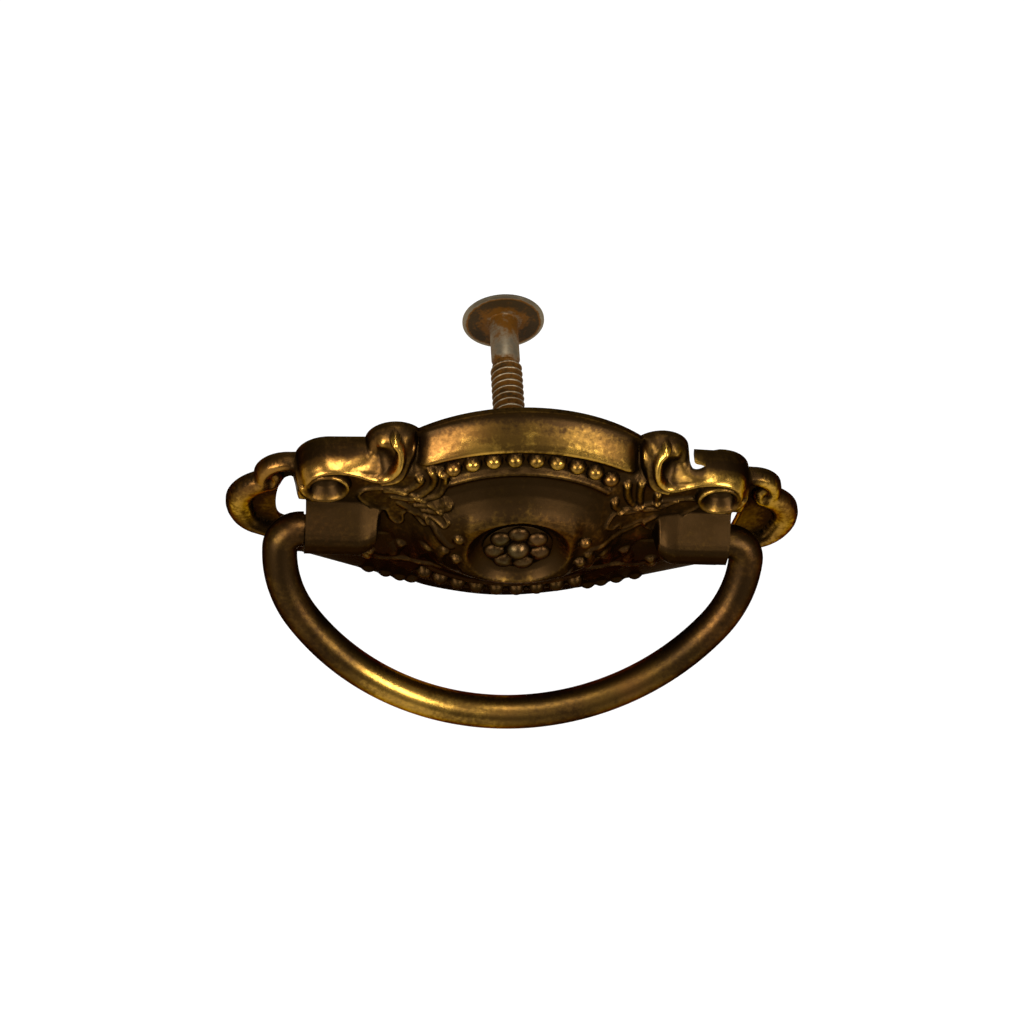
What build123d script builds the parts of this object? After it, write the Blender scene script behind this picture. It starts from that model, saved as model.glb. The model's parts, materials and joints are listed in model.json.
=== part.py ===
import os
from math import atan2, cos, degrees, hypot, radians, sin

from build123d import *

# Bail pull: a pressed sheet plate, a swinging bail, and one screw that clamps it from behind.
# X is to the right and Z up. The front faces -Y, and the plate's back edge lies in Y = 0.
# Points of the plate are (x, z) on its right-hand half, and heights are in front of the back edge.

# Pressed sheet
sheet = 0.7

# Medallion: half widths and half heights of its ovals, and their heights
medal_half_width = 24.0
medal_half_height = 22.9
rim_half_width = 20.1
rim_half_height = 17.8
rim_crest = 4.4
rim_bulge = 0.9
groove_half_width = 17.2
groove_half_height = 14.2
groove_floor = 3.9
ridge_width = 0.8
ridge_crest = 5.1
field_foot = 4.7
field_bulge = 0.4
eye_half_width = 11.4
eye_half_height = 8.3
eye_foot = 7.6
eye_crest = 8.8
eye_draft = 0.9
bowl_radius = 7.0
bowl_floor = 7.0
bowl_round = 1.8

# Bead rows along the groove, above and below the field
bead_radius = 1.15
bead_count = 9
bead_spread = 35.0

# Scroll shoulders beside the medallion
notch = (15.6, 17.4)
lobe_top = (19.6, 18.6)
lobe_foot = (22.8, 15.0)
strip_end = (27.6, 14.8)
scroll_bend = (30.7, 13.6)
scroll_corner = (32.2, 11.0)
shoulder_foot = (30.9, -3.0)
shoulder_inner = 10.0
shoulder_middle = (23.0, 6.0)
shoulder_reach = 9.0
shoulder_crest = 4.0
shoulder_draft = 0.8
scroll_bulge = 3.3
scroll_bulge_draft = 0.35
scroll_crest = 5.2
scroll_draft = 1.3
lip_outer = (30.6, 8.6)
lip_volute = (25.2, 11.4)
lip_dip = (21.0, 10.6)
lip_rise = (17.6, 13.4)
volute_centre = (27.7, 9.6)
volute_radius = 3.2
volute_crest = 5.7
dish_radius = 4.0
dish_depth = 1.3
cup_centre = (20.3, 15.2)
cup_radius = 3.2
cup_floor = 3.5

# Lower wings
wing_corner = (30.4, -12.2)
wing_notch = (12.9, -19.6)
wing_crest = 4.4
wing_crest_outer = (29.4, -4.6)
wing_crest_inner = (12.9, -8.6)

# Leaves on the shoulders: base, tip and half width of each
leaf_foot = 3.0
leaf_crest = 5.0
leaf_draft = 0.7
leaves = (
    ((24.0, 8.4), (15.4, 1.2), 1.5),
    ((21.8, 9.2), (12.4, 4.4), 1.5),
    ((20.2, 10.2), (12.2, 8.4), 1.4),
    ((18.4, 11.8), (13.4, 12.6), 1.2),
)

# Drops on the wings and pearls beside the eye
drop_places = ((13.6, -4.6), (17.4, -5.8))
drop_radius = 1.6
drop_crest = 5.2
pearl_places = ((9.4, 5.2), (9.4, -5.2))
pearl_radius = 1.0
pearl_crest = 8.3

# End tabs with pierced holes
tab_reach = 41.5
tab_run = tab_reach - scroll_corner[0]
tab_joint = (scroll_corner[0] + 0.6 * tab_run, 6.2)
tab_upper_bulge = (scroll_corner[0] + 0.41 * tab_run, 10.0)
tab_lower = (tab_joint[0], -6.4)
tab_stem = (scroll_corner[0] + 0.37 * tab_run, -7.4)
tab_root = 29.0
tab_rim_width = 1.5
tab_rim_crest = 1.9
hole_centre = (32.5, 1.2)
hole_width = 3.4
hole_length = 10.0

# Hoods over the ends of the bail
pivot_height = 5.4
pin_radius = 2.1
pin_play = 0.3
hood_inner = 19.6
hood_outer = 30.4
hood_front_play = 0.5
hood_top_foot = (5.0, 3.8)
hood_brow = 1.5
hood_crease = 0.2
hood_corner = 2.2

# Bail, at rest swung forward from hanging plumb
bail_angle = 30.0
bail_radius = 2.5
bail_drop = 28.7
bail_half_span = 33.7
bail_bend = 2.9
bail_side_radius = 18.0
pin_length = 5.4

# Rosette and its post
rosette_radius = 5.0
rosette_base = 0.6
petal_count = 7
petal_radius = 1.3
petal_circle = 3.4
heart_radius = 1.5
post_radius = 3.3
post_play = 0.1
post_tail_radius = 2.9
post_flare = 0.5
post_flare_length = 0.7

# Strap behind the plate
strap_half_length = 28.4
strap_half_width = 4.4
strap_thickness = 1.2
strap_play = 0.3

# Screw with a wide flat head
thread_radius = 2.4
thread_play = 0.08
thread_length = 31.0
thread_entry = 4.6
thread_chamfer = 0.6
bore_run_out = 1.2
shank_radius = 2.15
head_radius = 6.2
head_rim = 0.5
head_dome = 0.8
slot_width = 1.2
slot_depth = 0.7
grip_length = 33.8

# Torn back edge of the right-hand shoulder: a slit and the gap that it opens into
tear_start = 22.9
tear_slit = 0.9
tear_end = 26.3
tear_hook = 1.6
tear_depth = 2.6
tear_foot = 9.0


def front(height):
    """Plane parallel to the back plane, this far in front of it."""
    return Plane.XZ.offset(height)


def between(start, end, share):
    """Value this share of the way from start to end."""
    return start + (end - start) * share


def drawn_in(point, inset):
    """Shoulder point moved towards the middle of the shoulder by about the inset."""
    share = inset / shoulder_reach
    return between(point[0], shoulder_middle[0], share), between(point[1], shoulder_middle[1], share)


def oval(height, half_width, half_height):
    """Oval of the medallion at a height."""
    with BuildSketch(front(height)) as face:
        Ellipse(half_width, half_height)
    return face.sketch


def scroll_edge(inset):
    """Upper edge of a shoulder: the lobe beside the notch, the strip and the rounded corner."""
    ThreePointArc(drawn_in(notch, inset), drawn_in(lobe_top, inset), drawn_in(lobe_foot, inset))
    Line(drawn_in(lobe_foot, inset), drawn_in(strip_end, inset))
    ThreePointArc(drawn_in(strip_end, inset), drawn_in(scroll_bend, inset), drawn_in(scroll_corner, inset))


def shoulder_face(height, inset):
    """Shoulder from its upper edge down to the middle of the plate."""
    with BuildSketch(front(height)) as face:
        with BuildLine():
            scroll_edge(inset)
            Polyline(
                drawn_in(scroll_corner, inset),
                (shoulder_foot[0] - inset, shoulder_foot[1]),
                (shoulder_inner, shoulder_foot[1]),
                drawn_in(notch, inset),
            )
        make_face()
    return face.sketch


def raised(point, rise):
    """Point moved straight up the plate."""
    return point[0], point[1] + rise


def scroll_face(height, inset, lip_inset=0.0):
    """Scroll between its upper edge and the lip that dips from the volute to the lobe."""
    lip = [raised(point, lip_inset) for point in (lip_outer, lip_volute, lip_dip, lip_rise)]
    with BuildSketch(front(height)) as face:
        with BuildLine():
            scroll_edge(inset)
            Polyline(drawn_in(scroll_corner, inset), lip[0], lip[1])
            ThreePointArc(lip[1], lip[2], lip[3])
            Line(lip[3], drawn_in(notch, inset))
        make_face()
    return face.sketch


def leaf_face(height, base, tip, half_width):
    """Pointed leaf of two arcs from base to tip."""
    middle = ((base[0] + tip[0]) / 2, (base[1] + tip[1]) / 2)
    length = hypot(tip[0] - base[0], tip[1] - base[1])
    across = ((base[1] - tip[1]) / length * half_width, (tip[0] - base[0]) / length * half_width)
    with BuildSketch(front(height)) as face:
        with BuildLine():
            ThreePointArc(base, (middle[0] + across[0], middle[1] + across[1]), tip)
            ThreePointArc(tip, (middle[0] - across[0], middle[1] - across[1]), base)
        make_face()
    return face.sketch


def wing_face(height, outer, inner, inset):
    """Lower wing at a height, from the middle of the plate down to its outer and inner corners."""
    with BuildSketch(front(height)) as face:
        with BuildLine():
            Polyline(
                (outer[0] - inset, 0),
                (outer[0] - inset, outer[1] + inset),
                (inner[0] - inset, inner[1] + inset),
                (shoulder_inner, 0),
                close=True,
            )
        make_face()
    return face.sketch


def hood_profile(inset):
    """Side profile of a hood: sloping top, upright front and level floor."""
    top_foot = (-hood_top_foot[1], hood_top_foot[0] - inset)
    brow = (inset + hood_crease - hood_front, hood_brow - inset / 2)
    lip = (inset - hood_front, brow[1] - 2 * hood_crease)
    chin = (inset - hood_front, hood_floor + inset)
    return (0, top_foot[1]), top_foot, brow, lip, chin, (0, chin[1])


def hood_block(end, inset):
    """Solid under a hood, rounded at its inner lower corner, from its inner side out to the end."""
    inner, low, corner = hood_inner + inset, hood_floor + inset, hood_corner - inset
    turn = corner - corner * cos(radians(45))
    with BuildPart() as block:
        with BuildSketch(Plane.YZ.offset(inner)):
            with BuildLine():
                Polyline(*hood_profile(inset), close=True)
            make_face()
        extrude(amount=end - inner)
        with BuildSketch(front(0)):
            with BuildLine():
                ThreePointArc((inner, low + corner), (inner + turn, low + turn), (inner + corner, low))
                Polyline((inner + corner, low), (end, low), (end, hood_top_foot[0]), (inner, hood_top_foot[0]))
                Line((inner, hood_top_foot[0]), (inner, low + corner))
            make_face()
        extrude(amount=hood_front, mode=Mode.INTERSECT)
    return block.part


def scooped(point, height, radius):
    """Sphere centred on a point of the plate, at a height."""
    with BuildPart() as ball:
        with Locations((point[0], -height, point[1])):
            Sphere(radius)
    return ball.part


def tab_edge(inset):
    """Outer edge of an end tab: its small upper lobe and its large outer lobe."""
    upper_joint = (tab_joint[0] - inset, tab_joint[1])
    upper_start = (scroll_corner[0], scroll_corner[1] - inset)
    lower_end = (tab_lower[0], tab_lower[1] + inset)
    ThreePointArc(upper_start, (tab_upper_bulge[0] - inset, tab_upper_bulge[1] - inset), upper_joint)
    ThreePointArc(upper_joint, (tab_reach - inset, 0), lower_end)


def eye_face(height, half_width, half_height):
    """Pointed oval of two arcs at a height."""
    with BuildSketch(front(height)) as face:
        with BuildLine():
            ThreePointArc((-half_width, 0), (0, half_height), (half_width, 0))
            ThreePointArc((half_width, 0), (0, -half_height), (-half_width, 0))
        make_face()
    return face.sketch


hood_front = pivot_height + pin_radius + hood_front_play + sheet
hood_floor = -(pin_radius + pin_play + sheet)
dish_height = volute_crest - dish_depth + dish_radius
cup_height = cup_floor + cup_radius
rim_middle = rim_crest / 2
rim_middle_half_width = between(medal_half_width, rim_half_width, 0.5) + rim_bulge / 2
rim_middle_half_height = between(medal_half_height, rim_half_height, 0.5) + rim_bulge
bead_half_width = (rim_half_width + groove_half_width) / 2
bead_half_height = (rim_half_height + groove_half_height) / 2
field_half_width = groove_half_width - ridge_width
field_half_height = groove_half_height - ridge_width
field_middle = between(field_foot, eye_foot, 0.5) + field_bulge
field_middle_half_width = between(field_half_width, eye_half_width, 0.5)
field_middle_half_height = between(field_half_height, eye_half_height, 0.5)

bowl_turn = (
    bowl_radius - bowl_round + bowl_round * sin(radians(45)),
    -bowl_floor - bowl_round + bowl_round * cos(radians(45)),
)
bead_angles = [bead_spread * (2 * i / (bead_count - 1) - 1) for i in range(bead_count)]
bead_places = [
    (bead_half_width * sin(radians(angle)), -groove_floor, side * bead_half_height * cos(radians(angle)))
    for angle in bead_angles
    for side in (-1, 1)
]
bail_start = bail_half_span - bail_bend
bail_rise = bail_drop - bail_bend
bail_side_offset = bail_half_span - bail_side_radius
bail_bottom_radius = (bail_side_offset**2 + bail_rise**2 - bail_side_radius**2) / (2 * (bail_rise - bail_side_radius))
bail_centre_drop = bail_drop - bail_bottom_radius
bail_turn = degrees(atan2(bail_bend - bail_centre_drop, bail_side_offset))

# Right-hand flank of the plate: shoulder, scroll, wing, leaves, hood and end tab
with BuildPart() as flank:
    loft([shoulder_face(0, 0), shoulder_face(shoulder_crest, shoulder_draft)], ruled=True)
    scroll_side = scroll_face(scroll_bulge, scroll_bulge_draft)
    loft([scroll_face(0, 0), scroll_side, scroll_face(scroll_crest, scroll_draft)], ruled=True)
    wing_foot = wing_face(0, wing_corner, wing_notch, 0)
    loft([wing_foot, wing_face(wing_crest, wing_crest_outer, wing_crest_inner, 0)], ruled=True)
    with BuildSketch(front(0)):
        with Locations(volute_centre):
            Circle(volute_radius)
    extrude(amount=volute_crest)
    add(scooped(volute_centre, dish_height, dish_radius), mode=Mode.SUBTRACT)
    add(scooped(cup_centre, cup_height, cup_radius), mode=Mode.SUBTRACT)
    for base, tip, half_width in leaves:
        foot = leaf_face(leaf_foot, base, tip, half_width)
        loft([foot, leaf_face(leaf_crest, base, tip, half_width - leaf_draft)], ruled=True)
    with Locations(*[(x, drop_radius - drop_crest, z) for x, z in drop_places]):
        Sphere(drop_radius)
    add(hood_block(hood_outer, 0))
    with BuildSketch(front(0)):
        with BuildLine():
            tab_edge(0)
            Polyline(tab_lower, tab_stem, wing_corner, (tab_root, wing_corner[1]))
            Polyline((tab_root, wing_corner[1]), (tab_root, scroll_corner[1]), scroll_corner)
        make_face()
    extrude(amount=sheet)
    with BuildSketch(front(0)):
        with BuildLine():
            tab_edge(0)
            Polyline(tab_lower, tab_stem, (tab_stem[0] - tab_rim_width, tab_stem[1]))
            Line((tab_stem[0] - tab_rim_width, tab_stem[1]), scroll_corner)
        make_face()
        with BuildLine():
            tab_edge(tab_rim_width)
            Line((tab_lower[0], tab_lower[1] + tab_rim_width), (scroll_corner[0], scroll_corner[1] - tab_rim_width))
        make_face(mode=Mode.SUBTRACT)
    extrude(amount=tab_rim_crest)

# Hollow behind the right-hand flank
with BuildPart() as hollow:
    loft([shoulder_face(0, sheet), shoulder_face(shoulder_crest - sheet, shoulder_draft + sheet)], ruled=True)
    scroll_side = scroll_face(scroll_bulge - sheet, scroll_bulge_draft + sheet, sheet)
    scroll_top = scroll_face(scroll_crest - sheet, scroll_draft + sheet, sheet)
    loft([scroll_face(0, sheet, sheet), scroll_side, scroll_top], ruled=True)
    add(scooped(volute_centre, dish_height, dish_radius + sheet), mode=Mode.SUBTRACT)
    add(scooped(cup_centre, cup_height, cup_radius + sheet), mode=Mode.SUBTRACT)
    wing_foot = wing_face(0, wing_corner, wing_notch, sheet)
    wing_top = wing_face(wing_crest - sheet, wing_crest_outer, wing_crest_inner, sheet)
    loft([wing_foot, wing_top], ruled=True)
    add(hood_block(hole_centre[0], sheet))
    with BuildSketch(front(0)):
        with Locations(hole_centre):
            SlotOverall(hole_length, hole_width, rotation=90)
    extrude(amount=tab_rim_crest)

# Backplate, pressed from one sheet
with BuildPart() as backplate:
    add(flank.part)
    mirror(flank.part, about=Plane.YZ)

    # Medallion rim with the groove for the beads, and the ridge inside it
    rim_foot = oval(0, medal_half_width, medal_half_height)
    rim_side = oval(rim_middle, rim_middle_half_width, rim_middle_half_height)
    rim_top = oval(rim_crest, rim_half_width, rim_half_height)
    loft([rim_foot, rim_side, rim_top])
    with BuildSketch(front(groove_floor)):
        Ellipse(rim_half_width - ridge_width, rim_half_height - ridge_width)
        Ellipse(groove_half_width, groove_half_height, mode=Mode.SUBTRACT)
    extrude(amount=eye_crest, mode=Mode.SUBTRACT)
    with BuildSketch(front(groove_floor)):
        Ellipse(groove_half_width, groove_half_height)
    extrude(amount=ridge_crest - groove_floor)
    with BuildSketch(front(field_foot)):
        Ellipse(field_half_width, field_half_height)
    extrude(amount=eye_crest, mode=Mode.SUBTRACT)

    # Rising field, and the eye with its bowl
    field_low = oval(field_foot, field_half_width, field_half_height)
    field_high = oval(eye_foot, eye_half_width, eye_half_height)
    loft([field_low, oval(field_middle, field_middle_half_width, field_middle_half_height), field_high])
    eye_low = eye_face(field_foot, eye_half_width, eye_half_height)
    loft([eye_low, eye_face(eye_crest, eye_half_width - eye_draft, eye_half_height - eye_draft)], ruled=True)
    with BuildSketch(Plane.XY):
        with BuildLine():
            Polyline((0, -eye_crest - bowl_round), (0, -bowl_floor), (bowl_radius - bowl_round, -bowl_floor))
            bowl_side = (bowl_radius, -bowl_floor - bowl_round)
            ThreePointArc((bowl_radius - bowl_round, -bowl_floor), bowl_turn, bowl_side)
            Polyline(bowl_side, (bowl_radius, -eye_crest - bowl_round), (0, -eye_crest - bowl_round))
        make_face()
    revolve(axis=Axis.Y, mode=Mode.SUBTRACT)

    # Beads and pearls
    with Locations(*bead_places):
        Sphere(bead_radius)
    with Locations(*[(side * x, pearl_radius - pearl_crest, z) for x, z in pearl_places for side in (-1, 1)]):
        Sphere(pearl_radius)

    # Hollow behind
    add(hollow.part, mode=Mode.SUBTRACT)
    mirror(hollow.part, about=Plane.YZ, mode=Mode.SUBTRACT)
    hollow_foot = oval(0, medal_half_width - sheet, medal_half_height - sheet)
    hollow_side = oval(rim_middle - sheet, rim_middle_half_width - sheet, rim_middle_half_height - sheet)
    hollow_top = oval(groove_floor - sheet, rim_half_width - sheet, rim_half_height - sheet)
    loft([hollow_foot, hollow_side, hollow_top], mode=Mode.SUBTRACT)
    field_share = (bowl_floor - field_foot) / (eye_foot - field_foot)
    inner_low = oval(groove_floor - sheet, field_half_width - sheet, field_half_height - sheet)
    inner_high = oval(
        bowl_floor - sheet,
        between(field_half_width, eye_half_width, field_share) - sheet,
        between(field_half_height, eye_half_height, field_share) - sheet,
    )
    loft([inner_low, inner_high], mode=Mode.SUBTRACT)
    with BuildSketch(front(0)):
        Circle(post_radius + post_play)
    extrude(amount=eye_crest, mode=Mode.SUBTRACT)

    # Torn back edge above the right-hand scroll
    with BuildSketch(Plane.XY.offset(tear_foot)):
        with BuildLine():
            Polyline(
                (tear_start, sheet),
                (tear_start, -tear_depth),
                (tear_end, -tear_depth),
                (tear_end, -tear_hook),
                (tear_start + tear_slit, -tear_hook),
                (tear_start + tear_slit, sheet),
                close=True,
            )
        make_face()
    extrude(amount=medal_half_height - tear_foot, mode=Mode.SUBTRACT)

# Bail, one bent rod with turned-down ends
bail_plane = Plane(
    origin=(0, -pivot_height, 0),
    x_dir=(1, 0, 0),
    z_dir=(0, cos(radians(bail_angle)), -sin(radians(bail_angle))),
)
with BuildPart() as bail:
    with BuildLine(bail_plane) as half_rod:
        CenterArc((bail_start, bail_bend), bail_bend, -90, 90)
        CenterArc((bail_side_offset, bail_bend), bail_side_radius, 0, bail_turn)
        CenterArc((0, bail_centre_drop), bail_bottom_radius, bail_turn, 90 - bail_turn)
    with BuildSketch(Plane.YZ.offset(bail_start)):
        with Locations((-pivot_height, 0)):
            Circle(bail_radius)
    sweep(path=half_rod.wires()[0])
    with BuildSketch(Plane.YZ.offset(bail_start)):
        with Locations((-pivot_height, 0)):
            Circle(pin_radius)
    extrude(amount=-pin_length)
    mirror(about=Plane.YZ)

# Rosette with its threaded post, flared over behind the strap
strap_front = pivot_height - pin_radius - strap_play
strap_back = strap_front - strap_thickness
on_base = (Align.CENTER, Align.CENTER, Align.MIN)
with BuildPart() as rosette_post:
    with BuildSketch(Plane.XY):
        with BuildLine():
            Polyline(
                (thread_radius + thread_play, -strap_back + post_flare_length),
                (post_tail_radius + post_flare, -strap_back + post_flare_length),
                (post_tail_radius + post_flare, -strap_back),
                (post_tail_radius, -strap_back),
                (post_tail_radius, -strap_front),
                (post_radius, -strap_front),
                (post_radius, -bowl_floor),
                (rosette_radius, -bowl_floor),
                (rosette_radius, -bowl_floor - rosette_base),
                (0, -bowl_floor - rosette_base),
                (0, -thread_entry - bore_run_out),
                (thread_radius + thread_play, -thread_entry - bore_run_out),
                close=True,
            )
        make_face()
    revolve(axis=Axis.Y)
    with Locations(Plane.XZ.offset(bowl_floor + rosette_base)):
        Sphere(heart_radius, arc_size1=0, align=on_base)
        with PolarLocations(petal_circle, petal_count, start_angle=90):
            Sphere(petal_radius, arc_size1=0, align=on_base)

# Strap that keeps the ends of the bail in the hoods
with BuildPart() as back_strap:
    with BuildSketch(front(strap_back)):
        SlotOverall(2 * strap_half_length, 2 * strap_half_width)
        Circle(post_tail_radius + post_play, mode=Mode.SUBTRACT)
    extrude(amount=strap_thickness)

# Screw
with BuildPart() as screw:
    with BuildSketch(Plane.XY):
        with BuildLine():
            Polyline(
                (0, -thread_entry),
                (thread_radius - thread_chamfer, -thread_entry),
                (thread_radius, -thread_entry + thread_chamfer),
                (thread_radius, -thread_entry + thread_length),
                (shank_radius, -thread_entry + thread_length + thread_radius - shank_radius),
                (shank_radius, grip_length),
                (head_radius, grip_length),
                (head_radius, grip_length + head_rim),
            )
            head_top = grip_length + head_rim + head_dome
            head_shoulder = (head_radius / 2, grip_length + head_rim + head_dome * 0.75)
            ThreePointArc((head_radius, grip_length + head_rim), head_shoulder, (0, head_top))
            Line((0, head_top), (0, -thread_entry))
        make_face()
    revolve(axis=Axis.Y)
    with BuildSketch(Plane.XZ.offset(-head_top)):
        Rectangle(2 * head_radius, slot_width)
    extrude(amount=slot_depth, mode=Mode.SUBTRACT)

os.makedirs("parts", exist_ok=True)
pieces = {
    "backplate": backplate,
    "bail": bail,
    "rosette_post": rosette_post,
    "back_strap": back_strap,
    "screw": screw,
}
for name, piece in pieces.items():
    piece.part.label = name
    export_step(piece.part, f"parts/{name}.step")
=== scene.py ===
"""Antique bail pull: a pressed brass plate carved with beads, scrolls and leaves, a bent bail and one screw."""

import json
import math

import bmesh
import bpy
import numpy as np
from mathutils import Matrix, Vector
from mathutils.geometry import delaunay_2d_cdt


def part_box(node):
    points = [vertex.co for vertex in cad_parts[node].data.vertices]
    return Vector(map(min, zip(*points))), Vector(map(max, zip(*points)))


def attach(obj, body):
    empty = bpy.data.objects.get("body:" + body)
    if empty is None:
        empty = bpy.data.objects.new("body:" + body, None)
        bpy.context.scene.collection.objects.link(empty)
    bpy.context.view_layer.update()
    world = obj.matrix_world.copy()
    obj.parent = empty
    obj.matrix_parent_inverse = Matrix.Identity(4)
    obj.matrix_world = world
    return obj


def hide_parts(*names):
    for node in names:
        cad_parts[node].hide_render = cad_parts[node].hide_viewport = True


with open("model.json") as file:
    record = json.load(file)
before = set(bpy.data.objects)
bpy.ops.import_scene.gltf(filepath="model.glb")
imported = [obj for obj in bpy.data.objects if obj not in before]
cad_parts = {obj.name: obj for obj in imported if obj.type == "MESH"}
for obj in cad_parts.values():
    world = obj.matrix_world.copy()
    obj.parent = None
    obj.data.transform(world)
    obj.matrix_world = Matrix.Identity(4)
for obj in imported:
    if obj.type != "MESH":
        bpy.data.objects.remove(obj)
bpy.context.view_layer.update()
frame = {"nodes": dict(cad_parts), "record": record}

bl_info = {
    "name": "Antique bail pull",
    "version": (1, 0, 0),
    "blender": (4, 5, 0),
    "location": "3D View > Sidebar > Bail pull",
    "description": "Models and finishes a pressed brass drawer pull around its CAD frame",
    "category": "Object",
}

MM = 0.001


def node_box(node):
    """Lowest and highest corner of a CAD node, in millimetres."""
    low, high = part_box(node)
    return low / MM, high / MM


PLATE_HIGH = node_box("backplate")[1]
BAIL_HIGH = node_box("bail")[1]
SCREW_LOW, SCREW_HIGH = node_box("screw")
HINGE = Vector(frame["record"]["behaviour"]["joints"][0]["pos_m"]) / MM

# Bail: its lean at rest, the radius of its upper bends and of its sides, and how far it hangs
BAIL_LEAN = math.radians(30.0)
BAIL_BEND = 2.9
BAIL_SIDE = 18.0
BAIL_DROP = 28.7

# Outline and carving of the plate's right-hand half: points are (x, z) in millimetres
REACH = PLATE_HIGH.x
HALF_HEIGHT = PLATE_HIGH.z
MEDAL_HALF_WIDTH = 24.0
POINT_SPACING = 0.25
NOTCH = (15.6, 17.4)
LOBE_TOP = (19.6, 18.6)
LOBE_FOOT = (22.8, 15.0)
STRIP_END = (27.6, 14.8)
SCROLL_BEND = (30.7, 13.6)
SCROLL_CORNER = (32.2, 11.0)
TAB_BULGE = (36.0, 10.0)
TAB_JOINT = (37.8, 6.2)
TAB_LOWER = (37.8, -6.4)
TAB_STEM = (35.6, -7.4)
WING_CORNER = (30.4, -12.2)
WING_NOTCH = (12.9, -19.6)

HOOD_INNER = 19.6
HOOD_OUTER = 30.45
HOOD_FOOT = -3.15
HOOD_INNER_ROUND = 3.4
HOOD_OUTER_ROUND = 1.5
LEFT_HOLE = (
    (30.45, -3.2), (31.2, -4.0), (33.0, -4.0), (34.1, -2.6), (34.4, 1.5), (33.9, 5.0), (32.8, 6.3),
    (31.3, 6.0), (30.45, 5.0),
)
RIGHT_HOLE = (
    (30.45, -3.2), (31.0, -3.9), (31.9, -3.7), (32.3, -2.4), (32.7, 1.5), (32.8, 4.6), (32.2, 6.0),
    (31.2, 6.0), (30.45, 5.0),
)

LIP = (
    (18.9, 17.6), (18.2, 16.7), (18.0, 15.3), (18.4, 13.4), (19.5, 12.0), (20.9, 11.6), (22.4, 12.1), (23.8, 12.8),
    (25.3, 13.2), (26.9, 13.3), (28.6, 12.9), (29.9, 11.9), (30.6, 10.4), (30.6, 8.4), (29.6, 6.7),
)
LOBE_FOLD = ((16.0, 17.6), (16.4, 15.2), (16.9, 13.2), (18.2, 11.2), (20.3, 10.4))
VOLUTE = (27.9, 9.6)
VOLUTE_RING = (0.0, 0.9, 1.6, 2.2, 2.6, 2.85, 3.1, 3.6)
VOLUTE_FACE = (3.2, 3.3, 3.8, 4.7, 5.3, 5.45, 5.35, 4.8)
LEFT_RIBS = (
    ((19.6, 8.2), (16.8, 8.4), (15.4, 9.7), (14.8, 10.9), (15.0, 11.4)),
    ((18.5, 7.1), (15.3, 7.1), (13.3, 9.6), (13.0, 11.7), (13.6, 13.0)),
    ((16.0, 6.4), (12.8, 7.8), (11.7, 9.4), (11.4, 11.9), (12.2, 12.8)),
    ((15.2, 5.8), (12.1, 6.8), (11.0, 7.7)),
    ((14.1, 5.2), (12.6, 5.7), (10.9, 7.0), (10.6, 7.5)),
)
RIGHT_RIBS = (
    ((22.0, 8.0), (19.7, 6.6), (19.1, 8.4), (19.1, 9.3)),
    ((20.5, 6.4), (17.5, 6.1), (16.5, 8.9), (16.3, 11.9)),
    ((19.8, 6.0), (16.5, 6.5), (14.9, 8.6), (14.3, 11.5)),
    ((16.9, 5.9), (14.8, 5.7), (13.3, 7.0), (13.0, 8.1)),
)
LEFT_STEM = ((17.3, 5.8), (15.8, 4.8), (14.0, 4.2), (12.9, 3.6), (11.8, 2.4), (10.4, 0.6), (9.6, 0.1))
RIGHT_STEM = ((19.4, 4.2), (16.3, 1.7), (13.6, 0.9), (12.0, 0.4), (10.6, 0.0))
LEFT_LEAF = (
    (22.9, 5.7), (21.2, 3.9), (20.2, 3.1), (19.6, 3.4), (19.3, 4.0), (18.4, 1.9), (17.2, 1.0), (16.4, 1.9),
    (16.4, 3.5), (15.7, 4.3), (14.9, 3.3), (13.8, 2.5), (13.0, 3.2), (13.2, 4.3), (12.3, 4.2), (11.0, 3.9),
    (10.3, 4.8), (10.4, 5.4),
)
RIGHT_LEAF = (
    (25.5, 6.6), (23.7, 4.7), (23.2, 3.4), (21.2, 2.4), (20.6, 3.0), (19.6, 1.1), (18.1, 1.9), (17.6, 3.2),
    (16.2, 2.4), (14.6, 2.2), (14.2, 3.2), (13.4, 2.9), (12.4, 3.6), (12.2, 4.6),
)
LEFT_BACK = ((11.8, 6.4), (14.5, 7.4), (18.0, 8.8), (22.0, 8.8), (23.4, 7.2))
RIGHT_BACK = ((13.4, 6.0), (16.5, 6.8), (20.0, 8.0), (24.0, 8.8), (26.0, 7.8))
SIDES = (
    (-1.0, LEFT_RIBS, LEFT_STEM, LEFT_LEAF + LEFT_BACK),
    (1.0, RIGHT_RIBS, RIGHT_STEM, RIGHT_LEAF + RIGHT_BACK),
)
DROPS = (
    ((13.1, -2.2), (13.8, -4.4), (14.0, -6.4), 0.85),
    ((16.4, -4.1), (16.9, -5.4), (17.1, -6.7), 0.8),
    ((10.4, -0.9), (10.9, -2.4), (10.9, -4.0), 0.7),
    ((20.6, -6.6), (20.8, -7.4), (21.2, -8.2), 0.7),
)
WING_CREST = ((21.2, -7.3), (18.9, -8.9), (16.0, -8.3), (13.8, -8.6), (10.3, -8.3))
WING_SCALLOPS = (13.3, 15.2, 17.4, 20.0)
WING_NORMAL = (-0.389, 0.921)
WING_SLOPE = 0.423
PEARLS = ((9.0, 2.1), (8.9, -2.6))
CURL = ((37.6, 5.6), (36.5, 4.4), (35.2, 4.6), (34.7, 6.2), (35.3, 7.6))


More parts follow.
